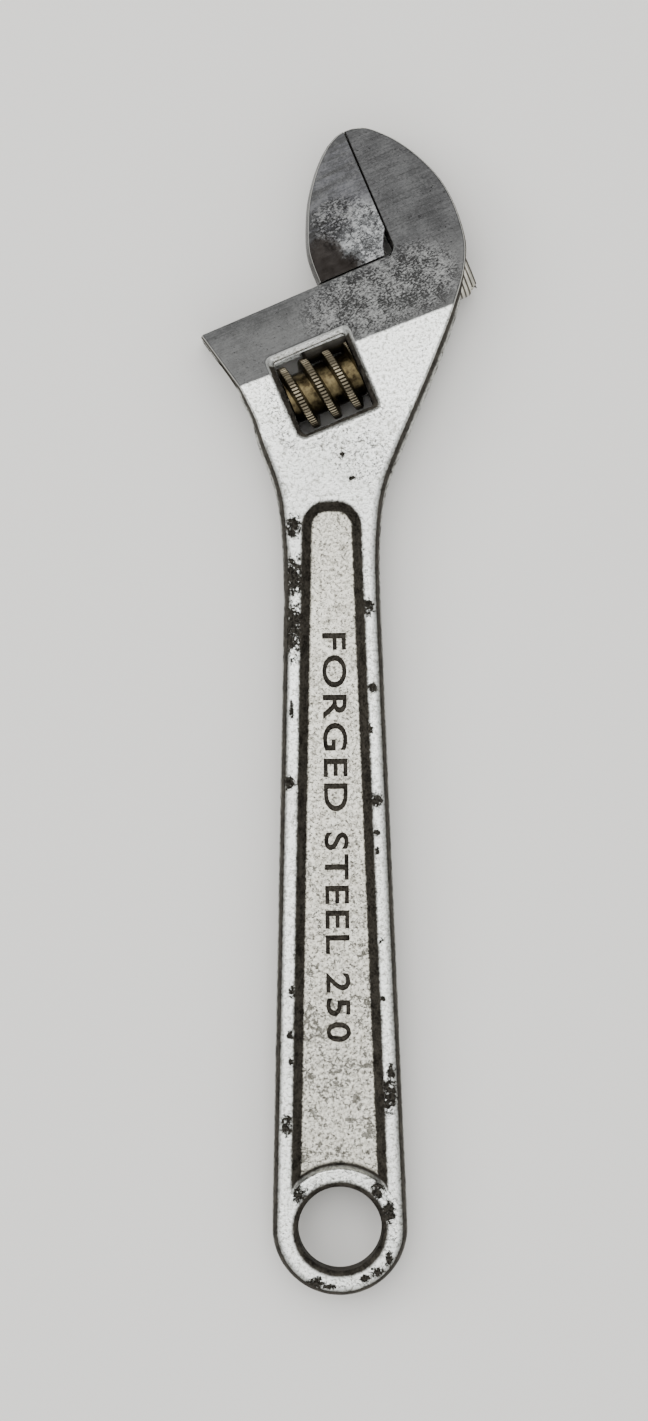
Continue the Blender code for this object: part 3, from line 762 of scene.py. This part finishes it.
def share_of_forging(edge):
    """The handle's outer edges are rounded in full, the ground head and the channel's edges less."""
    middle = ((edge.verts[0].co + edge.verts[1].co) / 2 - RING_CENTRE) / MM
    lean = sorted(abs(face.normal.z) for face in edge.link_faces)
    from_ring = math.hypot(middle.x, middle.y)
    outer = abs(middle.x) - (HANDLE_HALF - HANDLE_TAPER * middle.y) > 2.6 or middle.y < -3
    if from_ring < RING_HOLE:
        return 0
    if not outer or middle.y > HEAD_START:
        return 0.12 if on_head(edge).y > 0.5 and abs(on_head(edge).x) < 1 else 0.3
    if lean[1] < 0.6:
        return 0.4
    rise = min(max((middle.y - NECK_START) / NECK_LENGTH, 0), 1)
    return 1 - 0.7 * rise * rise * (3 - 2 * rise)


# The stamped line: its middle in mm from the hanging hole, and its letters' spacing and weight
MARK_MIDDLE = 85
MARK_ASIDE = 0.25 * MM
MARK_SPACING, MARK_WEIGHT = 1.16, 0.018
STAMP_REACH = 1.2 * MM


def stamp(settings):
    """The mark as a solid that cuts into the channel's floor; it reads from the head to the ring."""
    bpy.ops.object.select_all(action="DESELECT")
    bpy.ops.object.text_add()
    tool = bpy.context.object
    tool.name = "mark_stamp"
    tool.data.body = settings.mark
    tool.data.align_x = "CENTER"
    tool.data.align_y = "CENTER"
    tool.data.size = 1.0
    tool.data.space_character = MARK_SPACING
    tool.data.offset = MARK_WEIGHT
    tool.data.extrude = 1.0
    tool.data.resolution_u = 5
    bpy.ops.object.convert(target="MESH")
    tool = bpy.context.object
    merge(tool, 0.0001)
    low, high = [Vector(f(v.co[i] for v in tool.data.vertices) for i in range(3)) for f in (min, max)]
    size = high - low
    tool.data.transform(Matrix.Translation(-(low + high) / 2))
    tool.scale = (settings.mark_length / size.x, settings.mark_height / size.y, STAMP_REACH / size.z)
    tool.rotation_euler.z = -math.pi / 2
    floor_height = (FLOOR_HEIGHT + FLOOR_RISE * MARK_MIDDLE) * MM
    height = floor_height - settings.mark_depth + STAMP_REACH / 2
    tool.location = RING_CENTRE + Vector((MARK_ASIDE, MARK_MIDDLE * MM, height))
    settle(tool)
    return tool


class WRENCH_OT_jaw(bpy.types.Operator):
    """Rounds the movable jaw's edges and gives it its ground steel"""

    bl_idname = "wrench.jaw"
    bl_label = "Movable jaw"

    def execute(self, context):
        settings = context.scene.wrench_jaw
        jaw = copy_of_node("movable_jaw", "hook_jaw")
        round_edges(jaw, settings.edge_radius, share_of_jaw, clamp=False)
        finish_surface(jaw, ground_jaw(settings))
        hand_over(jaw, "jaw", "movable_jaw")
        return {"FINISHED"}


def on_worm_axis(piece):
    """Takes a piece made along X at the origin to the knurl's place in the head."""
    piece.rotation_euler.z = HEAD_ANGLE
    piece.location = WORM_CENTRE
    settle(piece)


def screw(piece, length, turns, steps):
    """Carries a section round X and along it, then closes both ends."""
    sizes = {"angle": math.tau * turns, "screw_offset": length, "steps": steps, "render_steps": steps}
    add_modifier(piece, "SCREW", axis="X", use_normal_calculate=True, **sizes)
    edit(piece)
    bpy.ops.mesh.select_all(action="SELECT")
    bpy.ops.mesh.fill_holes(sides=0)
    bpy.ops.mesh.normals_make_consistent(inside=False)
    leave()


def thread_ridge(name, start, pitch, turns, steps, root, top, crest, foot):
    """A helical ridge along X, foot wide at the root and crest wide at the top, its corners broken."""
    sunk = root - 0.1 * (top - root)
    place = (start, 0, (sunk + top) / 2)
    ridge = start_from("plane", name, place, (math.pi / 2, 0, 0), (foot, top - sunk, 1), size=1)
    edit(ridge)
    choose(ridge, "VERT", lambda vert: vert.co.z > place[2])
    bpy.ops.transform.resize(value=(crest / foot, 1, 1), center_override=(start, 0, top))
    bpy.ops.mesh.bevel(offset=0.1 * crest, affect="VERTICES", segments=1)
    bpy.ops.mesh.select_all(action="SELECT")
    bpy.ops.mesh.delete(type="ONLY_FACE")
    leave()
    screw(ridge, pitch * turns, turns, steps * turns)
    return ridge


def trim(piece, start, end):
    """Cuts a piece off square at two places along X."""
    cut(piece, "INTERSECT", rod("trim", 2 * WORM_HALF, start, end, 24))


def rod(name, radius, start, end, sides):
    """A round bar along X."""
    turn = (0, math.pi / 2, 0)
    sizes = {"vertices": sides, "radius": radius, "depth": end - start}
    return start_from("cylinder", name, ((start + end) / 2, 0, 0), turn, **sizes)


class WRENCH_OT_worm(bpy.types.Operator):
    """Turns the knurl's thread, flutes its crest and bores it for the pin and the spring"""

    bl_idname = "wrench.worm"
    bl_label = "Knurl"

    def execute(self, context):
        settings = context.scene.wrench_worm
        pitch, top, root = settings.pitch, settings.radius, settings.root_radius
        end = WORM_HALF
        foot = settings.crest + 2 * (top - root + 0.24 * MM) * math.tan(FLANK_ANGLE)
        steps = 4 * settings.flutes
        ridge = thread_ridge(
            "knurl_ridge", WORM_CREST - 3 * pitch, pitch, 6, steps, root, top, settings.crest, foot
        )
        flute(ridge, top, settings)
        worm = rod("fluted_knurl", root, -end - 2 * MM, end + 2 * MM, 110)
        cut(worm, "UNION", ridge)
        trim(worm, -end, end)
        cut(worm, "DIFFERENCE", rod("bore", PIN_RADIUS + PIN_CLEARANCE, -2 * end, 2 * end, 48))
        cut(worm, "DIFFERENCE", rod("pocket", POCKET_RADIUS, -2 * end, -end + POCKET_DEPTH, 64))
        on_worm_axis(worm)
        finish_surface(worm, browned_knurl(settings), 30)
        hand_over(worm, "worm", "knurl")
        return {"FINISHED"}


def flute(ridge, top, settings):
    """Presses the knurling's grooves into the crest, at every fourth of its steps."""
    steps = 4 * settings.flutes
    edit(ridge)
    choose(
        ridge,
        "VERT",
        lambda vert: math.hypot(vert.co.y, vert.co.z) > top - 0.35 * MM
        and round(math.atan2(vert.co.y, vert.co.z) / math.tau * steps) % 4 == 2,
    )
    shrink = 1 - settings.flute_depth / top
    bpy.ops.transform.resize(value=(1, shrink, shrink), center_override=(0, 0, 0))
    leave()


FLANK_ANGLE = math.radians(12.5)
POCKET_RADIUS, POCKET_DEPTH = 3.7 * MM, 4.6 * MM
PIN_CLEARANCE = 0.15 * MM
COIL_RADIUS = 2.85 * MM

# Along the knurl's axis from its middle: its half length, where a crest faces up, and the pin's steps
WORM_HALF = 8.1 * MM
WORM_CREST = -0.95 * MM
PIN_RADIUS = 2.0 * MM
PIN_START, PIN_SHOULDER, PIN_END = -17.15 * MM, -9.0 * MM, 12.15 * MM
PIN_THREAD_RADIUS = 2.75 * MM
SPRING_START, SPRING_END = -7.95 * MM, -4.05 * MM


class WRENCH_OT_pin(bpy.types.Operator):
    """Makes the slotted pin with its fine thread, and the coil spring round it"""

    bl_idname = "wrench.pin"
    bl_label = "Pin and spring"

    def execute(self, context):
        settings = context.scene.wrench_pin
        hand_over(slotted_pin(settings), "frame", "knurl_pin")
        hand_over(coil_spring(settings), "frame", "knurl_spring")
        return {"FINISHED"}


def slotted_pin(settings):
    """A threaded head drawn down to a plain shank, with a screwdriver slot in its end."""
    core = PIN_THREAD_RADIUS - 0.61 * settings.thread_pitch
    pin = rod("slotted_pin", core, PIN_START, PIN_SHOULDER, 48)
    edit(pin)
    choose(pin, "FACE", lambda face: face.normal.x > 0.9)
    bpy.ops.mesh.inset(thickness=core - PIN_RADIUS)
    bpy.ops.mesh.extrude_region_move(TRANSFORM_OT_translate={"value": (PIN_END - PIN_SHOULDER, 0, 0)})
    choose(
        pin,
        "EDGE",
        lambda edge: all(v.co.x > PIN_END - MM or v.co.x < PIN_START + MM for v in edge.verts)
        and edge.calc_face_angle(0) > 1,
    )
    bpy.ops.mesh.bevel(offset=0.35 * MM, segments=2, affect="EDGES")
    leave()
    turns = math.ceil((PIN_SHOULDER - PIN_START) / settings.thread_pitch) + 1
    pitch = settings.thread_pitch
    start = PIN_START - pitch / 2
    ridge = thread_ridge(
        "pin_ridge", start, pitch, turns, 32, core, PIN_THREAD_RADIUS, 0.2 * pitch, 0.95 * pitch
    )
    trim(ridge, PIN_START + 0.4 * MM, PIN_SHOULDER - 0.1 * MM)
    cut(pin, "UNION", ridge)
    slot = start_from("cube", "slot", (PIN_START, 0, 0), scale=(2.4 * MM, 1.0 * MM, 8 * MM), size=1)
    cut(pin, "DIFFERENCE", slot)
    on_worm_axis(pin)
    finish_surface(pin, blackened_screw(), 30)
    return pin


def coil_spring(settings):
    """Round wire coiled between the window's wall and the floor of the knurl's pocket."""
    wire = {"vertices": 14, "radius": settings.wire / 2}
    place = (SPRING_START, 0, COIL_RADIUS)
    spring = start_from("circle", "coil_spring", place, (math.pi / 2, 0, 0), **wire)
    screw(spring, SPRING_END - SPRING_START, settings.turns, round(36 * settings.turns))
    on_worm_axis(spring)
    finish_surface(spring, drawn_wire(), 60)
    return spring


class WRENCH_OT_stage(bpy.types.Operator):
    """Sets the pale floor, the soft light and the camera over the wrench"""

    bl_idname = "wrench.stage"
    bl_label = "Stage"

    def execute(self, context):
        settings = context.scene.wrench_stage
        lay_floor(settings)
        hang_lights()
        set_camera(settings)
        return {"FINISHED"}


FLOOR_SIZE = 16
FLOOR_GAP = 0.05 * MM
ROOM_STRENGTH = 1.95
VIEW_CENTRE = (-4.3 * MM, 0.45 * MM)

# Soft lights aimed at the wrench: name, place, size in m and power in W
LAMPS = (
    ("overhead_softbox", Vector((-0.2, 0.7, 1.7)), 1.6, 21.0),
    ("side_softbox", Vector((-1.3, 0.4, 1.2)), 0.8, 8.0),
    ("low_softbox", Vector((0.5, -1.2, 0.3)), 0.6, 3.2),
)


def lay_floor(settings):
    """A large pale matt board, just under the wrench."""
    bpy.ops.object.select_all(action="DESELECT")
    bpy.ops.mesh.primitive_plane_add(size=FLOOR_SIZE, location=(0, 0, -FLOOR_GAP))
    floor = bpy.context.object
    floor.name = "floor"
    settle(floor)
    made = bpy.data.materials.new("matt_pale_board")
    made.use_nodes = True
    add = partial(add_node, made.node_tree)
    cloud = add("TexNoise", place_of(add, (0, 0, 0))[0], 0.015, 3, 0.5)
    give(made, Base_Color=add("Mix", cloud, settings.floor, linear("#D8D6D1"), **BLEND))
    made.node_tree.nodes["Principled BSDF"].inputs["Roughness"].default_value = 0.8
    floor.data.materials.append(made)


def hang_lights():
    """A dim room that brightens overhead, with three soft lights: above, upper left and low at the ring."""
    world = bpy.data.worlds.new("soft_studio")
    bpy.context.scene.world = world
    world.use_nodes = True
    add = partial(add_node, world.node_tree)
    height = add("SeparateXYZ", add("TexCoord")).node.outputs["Z"]
    glow = add("MapRange", height, 0.2, 0.85, **SMOOTH)
    glow = add("Mix", glow, linear("#626466"), linear("#F6F7F8"), **BLEND)
    background = world.node_tree.nodes["Background"]
    world.node_tree.links.new(glow, background.inputs["Color"])
    background.inputs["Strength"].default_value = ROOM_STRENGTH
    for name, place, size, power in LAMPS:
        lamp = bpy.data.lights.new(name, "AREA")
        lamp.size = size
        lamp.energy = power
        holder = bpy.data.objects.new(name, lamp)
        holder.location = place
        holder.rotation_euler = (-place).to_track_quat("-Z", "Y").to_euler()
        bpy.context.scene.collection.objects.link(holder)


def set_camera(settings):
    """Straight above the wrench, far enough for nearly parallel edges."""
    camera = bpy.data.cameras.new("camera")
    camera.sensor_fit = "VERTICAL"
    camera.sensor_height = 36
    camera.lens = camera.sensor_height * settings.camera_distance / settings.view_height
    camera.clip_start = 0.01
    holder = bpy.data.objects.new("camera", camera)
    holder.location = (*VIEW_CENTRE, MIDDLE_Z + settings.camera_distance)
    holder.rotation_euler.z = settings.view_turn
    bpy.context.scene.collection.objects.link(holder)
    bpy.context.scene.camera = holder


class WRENCH_PT_panel(bpy.types.Panel):
    """Lists the wrench's pieces, their sizes and their colours"""

    bl_label = "Adjustable wrench"
    bl_idname = "WRENCH_PT_panel"
    bl_space_type = "VIEW_3D"
    bl_region_type = "UI"
    bl_category = "Wrench"

    def draw(self, context):
        for name, settings_class, label in SETTINGS:
            box = self.layout.box()
            box.label(text=label)
            for key in settings_class.__annotations__:
                box.prop(getattr(context.scene, name), key)
        for operator in OPERATORS:
            self.layout.operator(operator.bl_idname)


SETTINGS = [
    ("wrench_body", WrenchBodySettings, "Body"),
    ("wrench_jaw", WrenchJawSettings, "Jaw"),
    ("wrench_worm", WrenchWormSettings, "Knurl"),
    ("wrench_pin", WrenchPinSettings, "Pin and spring"),
    ("wrench_stage", WrenchStageSettings, "Stage"),
]
OPERATORS = [WRENCH_OT_body, WRENCH_OT_jaw, WRENCH_OT_worm, WRENCH_OT_pin, WRENCH_OT_stage]


def register():
    for name, settings_class, _ in SETTINGS:
        bpy.utils.register_class(settings_class)
        setattr(bpy.types.Scene, name, bpy.props.PointerProperty(type=settings_class))
    for operator in OPERATORS:
        bpy.utils.register_class(operator)
    bpy.utils.register_class(WRENCH_PT_panel)


def unregister():
    bpy.utils.unregister_class(WRENCH_PT_panel)
    for operator in reversed(OPERATORS):
        bpy.utils.unregister_class(operator)
    for name, settings_class, _ in reversed(SETTINGS):
        delattr(bpy.types.Scene, name)
        bpy.utils.unregister_class(settings_class)


def main():
    register()
    bpy.ops.wrench.body()
    bpy.ops.wrench.jaw()
    bpy.ops.wrench.worm()
    bpy.ops.wrench.pin()
    bpy.ops.wrench.stage()


if __name__ == "__main__":
    main()
